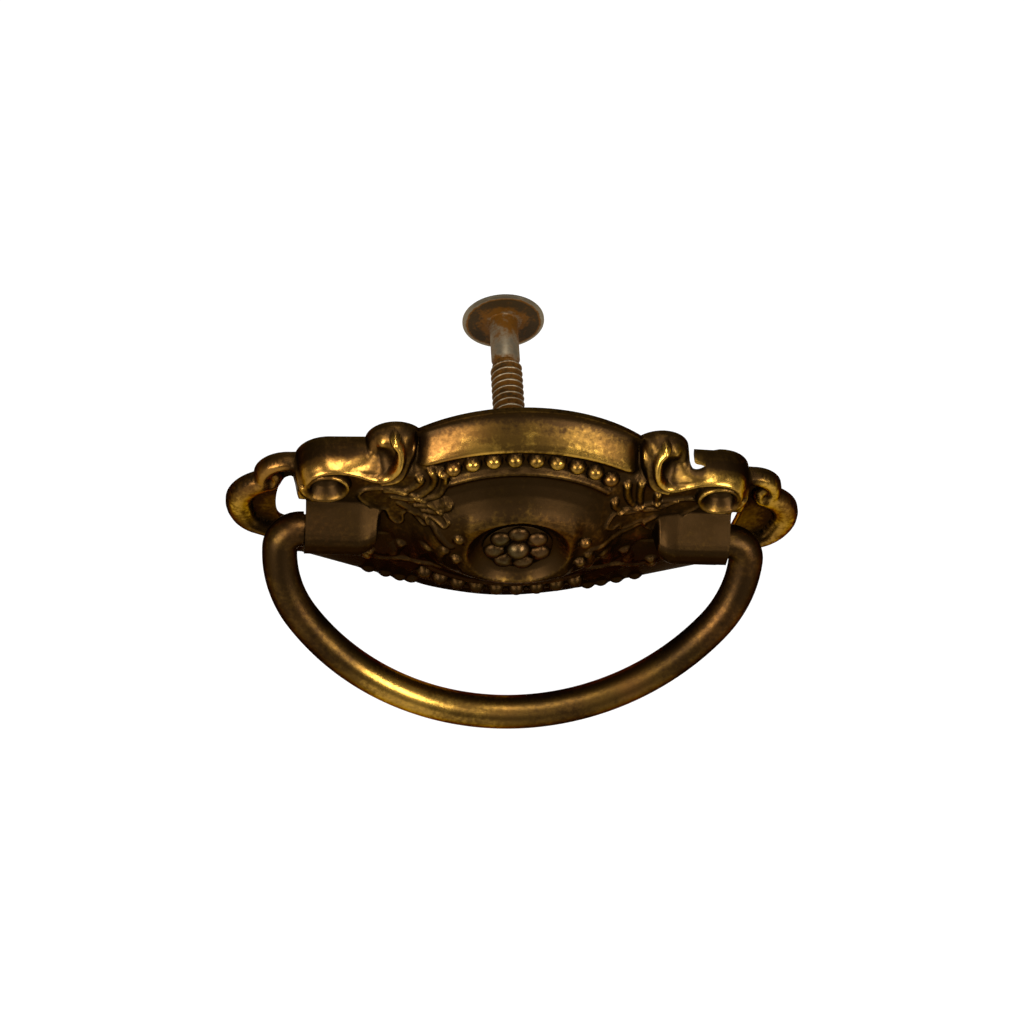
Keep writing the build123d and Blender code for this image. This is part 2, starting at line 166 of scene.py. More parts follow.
def arc(start, through, end):
    """Points along the circle through three points, without the last one."""
    ax, ay = start
    bx, by = through
    cx, cy = end
    d = 2 * (ax * (by - cy) + bx * (cy - ay) + cx * (ay - by))
    a2, b2, c2 = ax * ax + ay * ay, bx * bx + by * by, cx * cx + cy * cy
    ox = (a2 * (by - cy) + b2 * (cy - ay) + c2 * (ay - by)) / d
    oy = (a2 * (cx - bx) + b2 * (ax - cx) + c2 * (bx - ax)) / d
    first, middle, last = (math.atan2(y - oy, x - ox) for x, y in (start, through, end))
    turn = (last - first) % math.tau
    if (middle - first) % math.tau > turn:
        turn -= math.tau
    radius = math.hypot(ax - ox, ay - oy)
    count = max(2, round(abs(turn) * radius / POINT_SPACING))
    angles = [first + turn * i / count for i in range(count)]
    return [(ox + radius * math.cos(t), oy + radius * math.sin(t)) for t in angles]


def run(start, end):
    """Points along a straight line, without the last one."""
    (ax, ay), (bx, by) = start, end
    count = max(1, round(math.dist(start, end) / POINT_SPACING))
    return [(ax + (bx - ax) * i / count, ay + (by - ay) * i / count) for i in range(count)]


def rounded(points, closed=False):
    """Smooth line through the points, sampled evenly."""
    p = np.array(points, float)
    if closed:
        knots = np.vstack([p[-1], p, p[0], p[1]])
    else:
        knots = np.vstack([2 * p[0] - p[1], p, 2 * p[-1] - p[-2]])
    out = []
    for a, b, c, d in zip(knots[:-3], knots[1:-2], knots[2:-1], knots[3:]):
        count = max(2, round(float(np.linalg.norm(c - b)) / POINT_SPACING))
        for t in (i / count for i in range(count)):
            square, cube = 2 * a - 5 * b + 4 * c - d, 3 * b - 3 * c + d - a
            out.append(0.5 * (2 * b + (c - a) * t + square * t * t + cube * t ** 3))
    if not closed:
        out.append(p[-1])
    return np.array(out)


def oval_run(start, end):
    """Points along the medallion's outer oval between two points on it."""
    first, last = (math.atan2(y / HALF_HEIGHT, x / MEDAL_HALF_WIDTH) for x, y in (start, end))
    count = max(2, round(abs(last - first) * 23.0 / POINT_SPACING))
    angles = [first + (last - first) * i / count for i in range(count)]
    return [(MEDAL_HALF_WIDTH * math.cos(t), HALF_HEIGHT * math.sin(t)) for t in angles]


def scroll_edge():
    """Upper edge of the lobe and the scroll."""
    lobe = arc(NOTCH, LOBE_TOP, LOBE_FOOT) + run(LOBE_FOOT, STRIP_END)
    return lobe + arc(STRIP_END, SCROLL_BEND, SCROLL_CORNER)


def plate_outline():
    """Closed outline of the whole plate, clockwise from the top, a little flatter at the bottom than the oval."""
    right = oval_run((0.0, HALF_HEIGHT), NOTCH) + scroll_edge()
    right += arc(SCROLL_CORNER, TAB_BULGE, TAB_JOINT) + arc(TAB_JOINT, (REACH, 0.0), TAB_LOWER)
    right += run(TAB_LOWER, TAB_STEM) + run(TAB_STEM, WING_CORNER) + run(WING_CORNER, WING_NOTCH)
    right += oval_run(WING_NOTCH, (0.0, -HALF_HEIGHT)) + [(0.0, -HALF_HEIGHT)]
    right = np.array(right)
    right[:, 1] += 0.6 * ease(-19.6, -22.5, right[:, 1])
    left = right[1:-1][::-1] * (-1.0, 1.0)
    return np.vstack([right, left])


def hole_outline(points, side):
    """Closed outline of one pierced hole beside a hood."""
    return rounded(points, closed=True) * (side, 1.0)


def near_distance(x, z, line, reach, closed=False):
    """Distance from a polyline, worked out only near it, and the reach elsewhere."""
    line = np.asarray(line, float)
    ends = np.roll(line, -1, axis=0) if closed else line[1:]
    low, high = line.min(0) - reach, line.max(0) + reach
    near = (x > low[0]) & (x < high[0]) & (z > low[1]) & (z < high[1])
    px, pz, best = x[near], z[near], reach ** 2
    for (ax, az), (bx, bz) in zip(line, ends):
        dx, dz = bx - ax, bz - az
        t = np.clip(((px - ax) * dx + (pz - az) * dz) / max(dx * dx + dz * dz, 1e-12), 0.0, 1.0)
        best = np.minimum(best, (px - ax - t * dx) ** 2 + (pz - az - t * dz) ** 2)
    out = np.full(x.shape, float(reach))
    out[near] = np.sqrt(best)
    return out


def inside(x, z, ring):
    """Which points lie inside a closed ring."""
    ring = np.asarray(ring, float)
    hit = np.zeros(x.shape, bool)
    for (ax, az), (bx, bz) in zip(ring, np.roll(ring, -1, axis=0)):
        if az == bz:
            continue
        crosses = (az > z) != (bz > z)
        hit ^= crosses & (x < (bx - ax) * (z - az) / (bz - az) + ax)
    return hit


def signed(x, z, ring, reach):
    """Depth inside a closed ring, negative outside, up to the reach."""
    depth = near_distance(x, z, ring, reach, closed=True)
    return np.where(inside(x, z, ring), depth, -depth)


def ease(low, high, v):
    """Smooth step from 0 to 1."""
    t = np.clip((v - low) / (high - low), 0.0, 1.0)
    return t * t * (3.0 - 2.0 * t)


RING_HEIGHT = (0.0, 8.3, 14.2, 17.8, 22.9)
RING_WIDTH = (0.0, 11.4, 17.4, 23.0, 24.0)
MEDAL_RING = (
    0, 7.2, 7.8, 8.3, 9.2, 10.5, 12.0, 12.9, 13.2, 13.5, 13.8, 14.0, 14.25, 14.6,
    16.9, 17.25, 17.6, 17.95, 18.3, 19.0, 20.0, 21.0, 21.8, 22.2, 22.9, 60,
)
MEDAL_FACE = (
    8.75, 8.7, 8.45, 8.05, 7.25, 6.15, 5.2, 4.78, 4.76, 4.86, 4.9, 4.75, 4.2, 3.85,
    3.6, 3.65, 4.0, 4.12, 4.02, 3.55, 2.75, 1.85, 1.05, 0.78, 0.7, 0.7,
)
FIELD_RING = (0, 7.2, 7.8, 8.3, 9.2, 10.5, 12.0, 14.0, 17.0, 60)
FIELD_FACE = (8.75, 8.7, 8.45, 8.05, 7.25, 6.1, 5.1, 4.5, 4.1, 4.1)
SAG_RING = (0, 14.2, 14.8, 16.9, 17.6, 18.5, 20.5, 22.0)
SAG_DEPTH = (0.0, 0.0, 0.5, 0.6, 1.7, 1.8, 1.1, 0.0)
BEAD_SPREAD = 37.0
BEAD_COUNT = 9
BEAD_OVAL = (18.65, 16.0)
BEAD_FOOT = 3.8
BEAD_SQUARE = 1.6
BEAD_SAG = 0.8
BOWL_RING = (0.0, 5.0, 5.6, 6.2, 6.8, 7.2, 7.5, 7.8)
BOWL_FACE = (7.0, 7.02, 7.14, 7.5, 8.05, 8.45, 8.8, 9.3)
EDGE_FACE = 0.7
CARVING_TURN = math.radians(3.0)
HOOD_LINE = (-3.2, -2.8, -2.3, -1.6, -0.6, 0.5, 0.95, 1.2, 1.5, 2.1, 3.0, 5.0, 6.0)
HOOD_FACE = (7.3, 7.95, 8.35, 8.6, 8.7, 8.68, 8.58, 8.46, 8.3, 7.75, 6.7, 4.0, 3.4)


def ring_of(a, z):
    """Half height of the medallion's oval that passes through a point."""
    low, high = np.full(a.shape, 0.01), np.full(a.shape, 60.0)
    for _ in range(34):
        middle = (low + high) / 2
        width = np.interp(middle, RING_HEIGHT, RING_WIDTH) + np.maximum(middle - RING_HEIGHT[-1], 0.0)
        out = (a / width) ** 2 + (z / middle) ** 2 > 1.0
        low, high = np.where(out, middle, low), np.where(out, high, middle)
    return (low + high) / 2


TEAR = (
    (22.85, 14.8), (22.87, 14.45), (23.05, 14.26), (23.6, 14.22), (24.3, 14.3), (25.1, 14.48),
    (24.4, 14.56), (23.8, 14.58), (23.5, 14.66), (23.45, 14.85),
)


def torn_outline():
    """Outline of the plate with the torn edge of its right-hand shoulder."""
    torn = [i for i, (x, z) in enumerate(OUTLINE) if 22.7 < x < 23.4 and 14.5 < z < 15.6]
    return np.vstack([OUTLINE[:torn[0]], rounded(TEAR), OUTLINE[torn[-1] + 1:]])


OUTLINE = plate_outline()
TORN_OUTLINE = torn_outline()
SCROLL_RING = np.vstack([
    scroll_edge(), run(SCROLL_CORNER, (31.6, 6.0)), rounded(LIP[5:])[::-1], rounded(LOBE_FOLD)[::-1],
])
SHOULDER_EDGE = (
    (15.7, 20.0), (15.8, 13.4), (14.4, 13.5), (12.6, 13.1), (11.7, 12.2), (11.4, 9.8), (11.1, 7.4), (11.0, 4.9),
    (12.8, 2.6), (11.4, 0.6), (10.2, -1.0), (10.6, -8.0), (12.9, -14.0), (12.9, -22.0),
)
SHOULDER_RING = SHOULDER_EDGE + ((60.0, -22.0), (60.0, 20.0))


def turned(x, z, angle):
    """Point of the medallion's carving that shows at a place of the plate, where the carving sits turned."""
    return x * math.cos(angle) - z * math.sin(angle), x * math.sin(angle) + z * math.cos(angle)


def volute_place(a, z):
    """Place of points in the volute's own round frame."""
    return (a - VOLUTE[0]) / 1.1, z - VOLUTE[1]


def swell(distance, half):
    """Rounded ridge, 1 on its line and 0 from its half width on."""
    return np.clip(1.0 - (distance / half) ** 2, 0.0, 1.0)


def hill(value, middle, width):
    """Soft hill round a middle."""
    return np.exp(-((value - middle) / width) ** 2)


def beaded(medal, x, z, below):
    """Medallion with the beads in its groove."""
    for degrees in np.linspace(-BEAD_SPREAD, BEAD_SPREAD, BEAD_COUNT):
        angle = math.radians(degrees)
        bead_x, bead_z = BEAD_OVAL[0] * math.sin(angle), BEAD_OVAL[1] * math.cos(angle)
        gap2 = (x - bead_x) ** 2 + (np.abs(z) - BEAD_SAG * below - bead_z) ** 2
        dome = BEAD_FOOT - BEAD_SAG * below + np.sqrt(np.maximum(BEAD_SQUARE - gap2, 0.0))
        medal = np.where(gap2 < BEAD_SQUARE, np.maximum(medal, dome), medal)
    return medal


def shoulder_bed(a, z, ring, field, edge):
    """Plain bed of the shoulders and wings, and the tabs with a fat rolled rim round a dished middle."""
    wing_run = np.clip((a - WING_NOTCH[0]) / (WING_CORNER[0] - WING_NOTCH[0]), 0.0, 1.0)
    low_edge = WING_NORMAL[0] * (a - WING_CORNER[0]) + WING_NORMAL[1] * (z - WING_CORNER[1])
    wing = EDGE_FACE + 3.6 * np.clip(low_edge / (10.1 - 2.7 * wing_run), 0.0, 1.0) ** 0.9
    wall = EDGE_FACE + 3.4 * ease(0.25, 1.5, edge)
    bed = np.where(z < -2.0, np.minimum(wing, np.where(a > 29.0, wall, 9.0)), np.minimum(wall, 4.1))
    bed = np.where(ring < 17.0, np.maximum(bed, field), bed)
    roll = 1.25 + 0.6 * ease(6.5, 4.0, z) - 0.75 * ease(-1.0, -6.0, z)
    tab = 0.8 + 1.5 * np.sqrt(swell(edge - roll, roll))
    curl = near_distance(a, z, rounded(CURL), 2.0)
    tab = np.maximum(tab, 0.8 + 1.2 * np.sqrt(swell(curl, 1.0)) * ease(0.1, 1.3, edge))
    to_tab = ease(31.2, 33.2, a + 0.12 * np.abs(z - 1.0))
    return bed * (1.0 - to_tab) + tab * to_tab


def leaf_relief(x, z):
    """Rise of each side's leaf, its ribs and its stem, and of the drops, scallops and crest on the wings."""
    a = np.abs(x)
    relief = np.zeros(x.shape)
    for side, ribs, stem, leaf_ring in SIDES:
        here = np.flatnonzero((side * x > 9.0) & (side * x < 27.0) & (z > -1.5) & (z < 14.5))
        px, pz = a[here], z[here]
        leaf = signed(px, pz, rounded(leaf_ring, closed=True), 1.5)
        ridge = 0.25 * swell(near_distance(px, pz, rounded(stem), 1.0), 0.6)
        for line in map(rounded, ribs):
            d = near_distance(px, pz, line, 1.2)
            close = np.flatnonzero(d < 1.0)
            gaps = np.hypot(px[close, None] - line[:, 0], pz[close, None] - line[:, 1])
            along = gaps.argmin(axis=1) / len(line)
            rise = (0.3 + 0.5 * along ** 2) * swell(d[close], 0.4 + 0.35 * along)
            ridge[close] = np.maximum(ridge[close], rise)
        relief[here] = 0.25 * ease(-0.3, 0.35, leaf) + 0.2 * hill(leaf, 0.25, 0.25) + ridge
    for *line, half in DROPS:
        relief += 0.6 * swell(near_distance(a, z, rounded(line), 2.0), 1.25 * half)
    for at in WING_SCALLOPS:
        gap2 = (a - at) ** 2 + (z - WING_NOTCH[1] - WING_SLOPE * (at - WING_NOTCH[0]) - 1.0) ** 2
        relief += 0.7 * np.clip(1.0 - gap2 / 1.3, 0.0, 1.0)
    return relief + 0.4 * swell(near_distance(a, z, rounded(WING_CREST), 1.5), 0.6)


def scrolled(face, a, z, edge):
    """Face with the scroll: a convex band from the outline to its lip, the cup behind the lobe and the volute."""
    scroll = signed(a, z, SCROLL_RING, 6.0)
    lip_gap = near_distance(a, z, rounded(LIP[3:]), 6.0)
    share = np.clip(edge / np.maximum(edge + lip_gap, 1e-6), 0.0, 1.0)
    band = EDGE_FACE + 4.4 * (1.0 - (1.0 - share) ** 2.2) ** 0.8
    band = band - 1.9 * hill(a, 20.1, 1.7) * hill(z, 14.7, 2.2)
    band = band + 0.5 * hill(a, 20.9, 0.8) * ease(14.5, 17.0, z) * ease(0.2, 1.4, edge)
    into = ease(-0.65, 0.2, scroll)
    face = np.where(scroll > -0.65, face * (1.0 - into) + band * into, face)
    face = face - 1.2 * hill(a, 16.0, 1.2) * ease(11.5, 13.4, z) * ease(18.4, 16.2, z)
    side, rise = volute_place(a, z)
    winding = np.mod(-np.arctan2(rise, side), math.tau) / math.tau
    r = np.hypot(side, rise) * 3.0 / (3.25 - 0.9 * winding)
    keep = ease(3.1, 3.5, r)
    face = np.where(r < 3.5, face * keep + np.interp(r, VOLUTE_RING, VOLUTE_FACE) * (1.0 - keep), face)
    lip = near_distance(a, z, rounded(LIP), 1.5)
    lip_height = 5.45 - 1.6 * ease(14.0, 18.0, z)
    face = np.where(lip < 0.75, np.maximum(face, lip_height - 2.0 * lip ** 2), face)
    fold = near_distance(a, z, rounded(LOBE_FOLD), 1.5)
    return face + 0.25 * swell(fold, 0.9) ** 2 * ease(0.3, 1.2, edge)


def hooded(face, a, z):
    """Face with the hood over the end of the bail."""
    depth = np.minimum(a - HOOD_INNER, z - HOOD_FOOT)
    side, foot = HOOD_INNER + HOOD_INNER_ROUND, HOOD_FOOT + HOOD_INNER_ROUND
    inner = HOOD_INNER_ROUND - np.hypot(a - side, z - foot)
    depth = np.where((a < side) & (z < foot), inner, depth)
    profile = np.interp(z, HOOD_LINE, HOOD_FACE) - 0.8 * ease(side, HOOD_INNER, a)
    side, foot = HOOD_OUTER - HOOD_OUTER_ROUND, HOOD_FOOT + HOOD_OUTER_ROUND
    outer = HOOD_OUTER_ROUND - np.hypot(a - side, z - foot)
    depth = np.where((a > side) & (z < foot), np.minimum(depth, outer), depth)
    depth = np.where(a > 31.5, -1.0, depth)
    rise = ease(0.0, 0.7, depth) * 0.9 + 0.1 * ease(0.3, 1.8, depth)
    return np.where((depth > 0.0) & (z < 5.6), np.maximum(face, face * (1.0 - rise) + profile * rise), face)


def plate_face(x, z):
    """Height of the plate's carved face in front of its back edge, in millimetres."""
    a = np.abs(x)
    ring = ring_of(a, z)
    edge = near_distance(a, z, OUTLINE, 14.0, closed=True)
    below = ease(0.0, -6.0, z)
    sag = below * np.interp(ring, SAG_RING, SAG_DEPTH)

    # Medallion inside, shoulder outside, with the carving turned a little but for its top
    turned_x, turned_z = turned(x, z, CARVING_TURN)
    medal = beaded(np.interp(ring, MEDAL_RING, MEDAL_FACE) - sag, turned_x, turned_z, below)
    bed = shoulder_bed(a, z, ring, np.interp(ring, FIELD_RING, FIELD_FACE) - sag, edge)
    top = ease(12.0, 14.0, z)
    across, up = np.abs(turned_x) * (1.0 - top) + a * top, turned_z * (1.0 - top) + z * top
    blend = ease(-0.35, 0.45, signed(across, up, SHOULDER_RING, 4.0))
    face = medal * (1.0 - blend) + bed * blend + leaf_relief(x, z)
    face = hooded(scrolled(face, a, z, edge), a, z)

    # Bowl of the eye and the pearls beside it
    face = face - 0.8 * ease(7.2, 9.0, a) * ease(9.5, 7.5, ring)
    face = np.minimum(face, np.interp(np.hypot(a, z), BOWL_RING, BOWL_FACE))
    for pearl_x, pearl_z in PEARLS:
        gap2 = (np.abs(x - 0.4) - pearl_x) ** 2 + (z - pearl_z) ** 2
        face = np.where(gap2 < 0.9, np.maximum(face, 7.8 + np.sqrt(np.maximum(0.9 - gap2, 0.0))), face)
    return np.maximum(face, EDGE_FACE - 0.35 * ease(-20.0, -22.0, z))


def plate_wear(x, z, height):
    """How much of the patina the hands have worn from each part of the plate, with a painted highlight on the band's
    left and right and painted shade towards the bottom.
    """
    a = np.abs(x)
    ring = ring_of(a, z)
    outside = signed(a, z, SHOULDER_RING, 2.0) > 0.2
    rim = ease(16.9, 17.6, ring) * ~outside * (1.0 - 0.45 * ease(18.8, 21.5, ring))
    # Painted highlight: the band is made brighter gold on its left and right than in its middle, where the lamps light
    # it.
    rim = rim * (0.55 + 0.6 * hill(x, -8.0, 5.0) + 0.6 * hill(x, 9.0, 5.5))
    rim = rim * (1.0 - ease(14.4, 15.6, a) * ease(11.0, 12.0, z))
    scroll = ease(-0.2, 0.3, signed(a, z, SCROLL_RING, 2.0))
    scroll = scroll * (1.0 - 0.9 * ease(18.1, 16.9, a) * ease(10.5, 11.5, z))
    snail = ease(3.6, 3.0, np.hypot(*volute_place(a, z)))
    tab = ease(31.5, 33.0, a) * ease(-8.0, 0.0, z)
    beads = ease(4.0, 4.5, height) * ease(14.4, 14.8, ring) * ease(17.2, 16.9, ring) * ~outside
    leaves = outside * ease(9.5, 11.0, a) * ease(26.0, 24.0, a) * ease(-3.0, 0.0, z)
    leaves = leaves * (1.0 - ease(HOOD_INNER - 0.3, HOOD_INNER + 0.1, a) * ease(5.2, 4.6, z))
    wear = np.maximum.reduce([rim, 0.75 * scroll, 0.2 * snail, 0.8 * tab, 0.42 * beads, 0.35 * leaves])
    # Painted shade: the gold is taken away towards the bottom of the plate.
    return wear * (1.0 - 0.85 * ease(-4.0, -11.0, z))


def plate_patina(x, z, height, faces):
    """How worn and how dust-covered each point of the face is, from its place and from how far it stands out, with
    painted highlights and painted shade laid in.
    """
    a = np.abs(x)
    ring = ring_of(a, z)
    wear = plate_wear(x, z, height)
    proud, high = height - spread(height, faces, 14), height - spread(height, faces, 90)
    rubbed = np.clip(0.03 + 0.47 * wear + (0.6 + 0.5 * wear) * proud + (0.4 + 0.4 * wear) * high, 0.0, 0.95)
    rubbed = rubbed + 0.4 * hill(x, -0.3, 1.0) * hill(z, 20.0, 1.2)
    # Painted shade: the hoods lose their gold and take dust, to stay dark.
    hood = ease(HOOD_INNER - 0.5, HOOD_INNER + 0.2, a) * ease(31.0, 30.4, a)
    hood = hood * ease(5.2, 4.6, z) * ease(-4.2, -3.4, z)
    # Painted shade: the lower plate and the drops keep less gold.
    low = np.maximum(ease(-7.0, -13.0, z), 0.35 * ease(-1.0, -3.0, z) * ease(8.0, 10.0, a)) * ease(33.0, 31.5, a)
    # Painted highlight: a thin gold line along the upper outline, with the wear of that edge.
    edge = ease(0.3, 0.05, near_distance(a, z, OUTLINE, 1.0, closed=True)) * ease(-6.0, 0.0, z)
    rubbed = rubbed * (1.0 - 0.75 * hood) * (1.0 - 0.6 * low) + 0.3 * edge
    # Painted shade: the medallion's field is darkened with dust.
    field = ease(14.2, 13.4, ring) * ease(8.5, 10.0, ring) * ease(-4.0, 2.0, z)
    dish = ease(2.5, 1.7, np.hypot(*volute_place(a, z)))
    # Dust here is real in the volute's dish and the hollows, and painted shade towards the bottom, on the hoods and on
    # the field.
    dusty = 0.7 * ease(-9.0, -13.0, z) + 0.45 * dish + 0.9 * hood + 0.9 * field - 0.9 * high - 0.1
    # Painted shade: the lowest part keeps at least this much dust.
    return rubbed, np.clip(dusty, 0.9 * ease(-12.0, -15.0, z), 0.9)


def sheet_triangles(loops, x, z):
    """Triangles between the outline and the holes through the given inner points."""
    places = [tuple(p) for loop in loops for p in loop] + list(zip(x.tolist(), z.tolist()))
    edges, first = [], 0
    for loop in loops:
        edges += [(first + i, first + j) for i, j in chain(len(loop), closed=True)]
        first += len(loop)
    verts, _, faces, source, _, _ = delaunay_2d_cdt([Vector(p) for p in places], edges, [], 0, 1e-6, True)
    if len(verts) != len(places) or any(s != [i] for i, s in enumerate(source)):
        raise RuntimeError("the plate's points changed in the triangulation")
    verts = np.array([tuple(v) for v in verts])
    faces = np.array(faces)
    for i, loop in enumerate(loops):
        faces = faces[inside(*verts[faces].mean(axis=1).T, loop) == (i == 0)]
    p, q, r = (verts[faces[:, i]] for i in range(3))
    turn = (q[:, 0] - p[:, 0]) * (r[:, 1] - p[:, 1]) - (q[:, 1] - p[:, 1]) * (r[:, 0] - p[:, 0])
    faces[turn < 0] = faces[turn < 0][:, ::-1]
    return verts, faces


def inner_points(loops, step, clear, x0, x1, z0, z1):
    """Points of a staggered grid inside the sheet and clear of its edges."""
    x, z = np.meshgrid(np.arange(x0, x1, step), np.arange(z0, z1, step * 0.866))
    x[1::2] += step / 2
    x, z = x.ravel(), z.ravel()
    for i, loop in enumerate(loops):
        keep = (inside(x, z, loop) == (i == 0)) & (near_distance(x, z, loop, 1.0, closed=True) > clear)
        x, z = x[keep], z[keep]
    return x, z


def deselect():
    """Leaves edit mode and selects nothing."""
    if bpy.context.object is not None and bpy.context.object.mode != "OBJECT":
        bpy.ops.object.mode_set(mode="OBJECT")
    bpy.ops.object.select_all(action="DESELECT")


def take(obj):
    """Selects one object and makes it the active one."""
    deselect()
    obj.select_set(True)
    bpy.context.view_layer.objects.active = obj
    return obj


def edit(obj):
    """Opens an object in edit mode with all of it selected."""
    take(obj)
    bpy.ops.object.mode_set(mode="EDIT")
    bpy.ops.mesh.select_all(action="SELECT")


def new_object(name, points, edges=(), faces=()):
    """Mesh object from points in millimetres."""
    mesh = bpy.data.meshes.new(name)
    mesh.from_pydata((np.asarray(points) * MM).tolist(), edges, faces)
    mesh.update()
    obj = bpy.data.objects.new(name, mesh)
    bpy.context.scene.collection.objects.link(obj)
    return obj


def chain(count, closed):
    """Edges that join points one after another."""
    return [(i, (i + 1) % count) for i in range(count if closed else count - 1)]


def close_up(obj, merge=0.0):
    """Merges doubled points of a shell and turns its faces outwards."""
    edit(obj)
    if merge:
        bpy.ops.mesh.remove_doubles(threshold=merge)
    bpy.ops.mesh.normals_make_consistent(inside=False)
    bpy.ops.object.mode_set(mode="OBJECT")


def spun(name, profile, closed, steps):
    """Body turned round the screw's axis from a profile of radius and depth in millimetres."""
    body = new_object(name, [(r, y, 0.0) for r, y in profile], chain(len(profile), closed))
    edit(body)
    bpy.ops.mesh.spin(steps=steps, angle=math.tau, center=(0.0, 0.0, 0.0), axis=(0.0, 1.0, 0.0))
    close_up(body, 0.00001)
    return body


def join(target, *others):
    """Joins other objects to the target."""
    take(target)
    for other in others:
        other.select_set(True)
    bpy.ops.object.join()
    take(target)


def smooth(obj, degrees):
    """Smooths an object but for its sharper edges."""
    take(obj)
    bpy.ops.object.shade_smooth_by_angle(angle=math.radians(degrees))


def places_of(obj):
    """Places of an object's points in millimetres."""
    places = np.empty(3 * len(obj.data.vertices))
    obj.data.vertices.foreach_get("co", places)
    return places.reshape(-1, 3) / MM


def write_layers(obj, **layers):
    """Writes a value for each point, which the finish reads by name."""
    for name, values in layers.items():
        layer = obj.data.attributes.new(name, "FLOAT", "POINT")
        layer.data.foreach_set("value", values.astype(np.float32))


def finish_piece(obj, body, slot, material, *nodes):
    """Puts a finished piece on its body with its material, and hides the node that it stands for. The slot is not used.
    """
    obj.data.materials.clear()
    obj.data.materials.append(material)
    deselect()
    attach(obj, body)
    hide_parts(*nodes)


def back_face(x, z, sheet):
    """Height of the plate's back, one sheet thickness behind its face all over."""
    low = plate_face(x, z) - sheet
    for radius in (0.5, 0.85, 1.0):
        for turn in range(10):
            angle = math.tau * (turn + radius) / 10
            dx, dz = sheet * radius * math.cos(angle), sheet * radius * math.sin(angle)
            low = np.minimum(low, plate_face(x + dx, z + dz) - sheet * math.sqrt(1.0 - radius * radius))
    return np.maximum(low, 0.0)


def spread(values, faces, rounds):
    """Values averaged over their neighbours this many times."""
    first, second = np.vstack([faces[:, [0, 1]], faces[:, [1, 2]], faces[:, [2, 0]]]).T
    size = len(values)
    count = np.bincount(first, minlength=size) + np.bincount(second, minlength=size)
    for _ in range(rounds):
        total = np.bincount(first, values[second], size) + np.bincount(second, values[first], size)
        values = 0.5 * values + 0.5 * total / count
    return values


# Finishes

def new_group(name, colours, values, results):
    """Starts a shared effect with its colours, its values and what it puts out, of which the first is a colour."""
    tree = bpy.data.node_groups.new(name, "ShaderNodeTree")
    for key in colours:
        tree.interface.new_socket(key, in_out="INPUT", socket_type="NodeSocketColor")
    for key in values:
        tree.interface.new_socket(key, in_out="INPUT", socket_type="NodeSocketFloat")
    for i, key in enumerate(results):
        kind = "NodeSocketFloat" if i else "NodeSocketColor"
        tree.interface.new_socket(key, in_out="OUTPUT", socket_type=kind)
    return tree, tree.nodes.new("NodeGroupInput").outputs, tree.nodes.new("NodeGroupOutput").inputs


def set_up(made, **values):
    """Sets a node's own values or its inputs' values."""
    for key, value in values.items():
        if hasattr(made, key):
            setattr(made, key, value)
        else:
            made.inputs[key.replace("_", " ")].default_value = value
    return made


def node(tree, kind, **values):
    """Adds a node with its values."""
    return set_up(tree.nodes.new(kind), **values)


def feed(tree, value, place):
    """Links a socket to a place, or sets a plain value there."""
    if isinstance(value, bpy.types.NodeSocket):
        tree.links.new(value, place)
    else:
        place.default_value = value


def blend_colour(tree, factor, first, second):
    """Mixes two colours by a factor socket."""
    made = node(tree, "ShaderNodeMix", data_type="RGBA")
    for value, place in zip((factor, first, second), (made.inputs[0], made.inputs[6], made.inputs[7])):
        feed(tree, value, place)
    return made.outputs[2]


def blend_shader(tree, factor, first, second):
    """Mixes two shaders by a factor."""
    made = tree.nodes.new("ShaderNodeMixShader")
    for value, place in zip((factor, first, second), made.inputs):
        feed(tree, value, place)
    return made.outputs[0]


def sum_up(tree, how, first, second, clamp=False):
    """Math node on sockets or plain values."""
    made = node(tree, "ShaderNodeMath", operation=how, use_clamp=clamp)
    feed(tree, first, made.inputs[0])
    feed(tree, second, made.inputs[1])
    return made.outputs[0]


def noise(tree, scale, detail, roughness):
    """Noise on the piece's own coordinates."""
    made = node(tree, "ShaderNodeTexNoise", Scale=scale, Detail=detail, Roughness=roughness)
    tree.links.new(tree.nodes.new("ShaderNodeTexCoord").outputs["Object"], made.inputs["Vector"])
    return made.outputs["Fac"]


def about_zero(tree, value, size):
    """Noise moved to lie about zero, and sized."""
    return sum_up(tree, "MULTIPLY", sum_up(tree, "SUBTRACT", value, 0.5), size)


def stretch(tree, value, low, high, to_low=0.0, to_high=1.0):
    """Maps a range of a value smoothly to another range."""
    made = node(
        tree, "ShaderNodeMapRange", interpolation_type="SMOOTHSTEP",
        From_Min=low, From_Max=high, To_Min=to_low, To_Max=to_high)
    tree.links.new(value, made.inputs["Value"])
    return made.outputs["Result"]


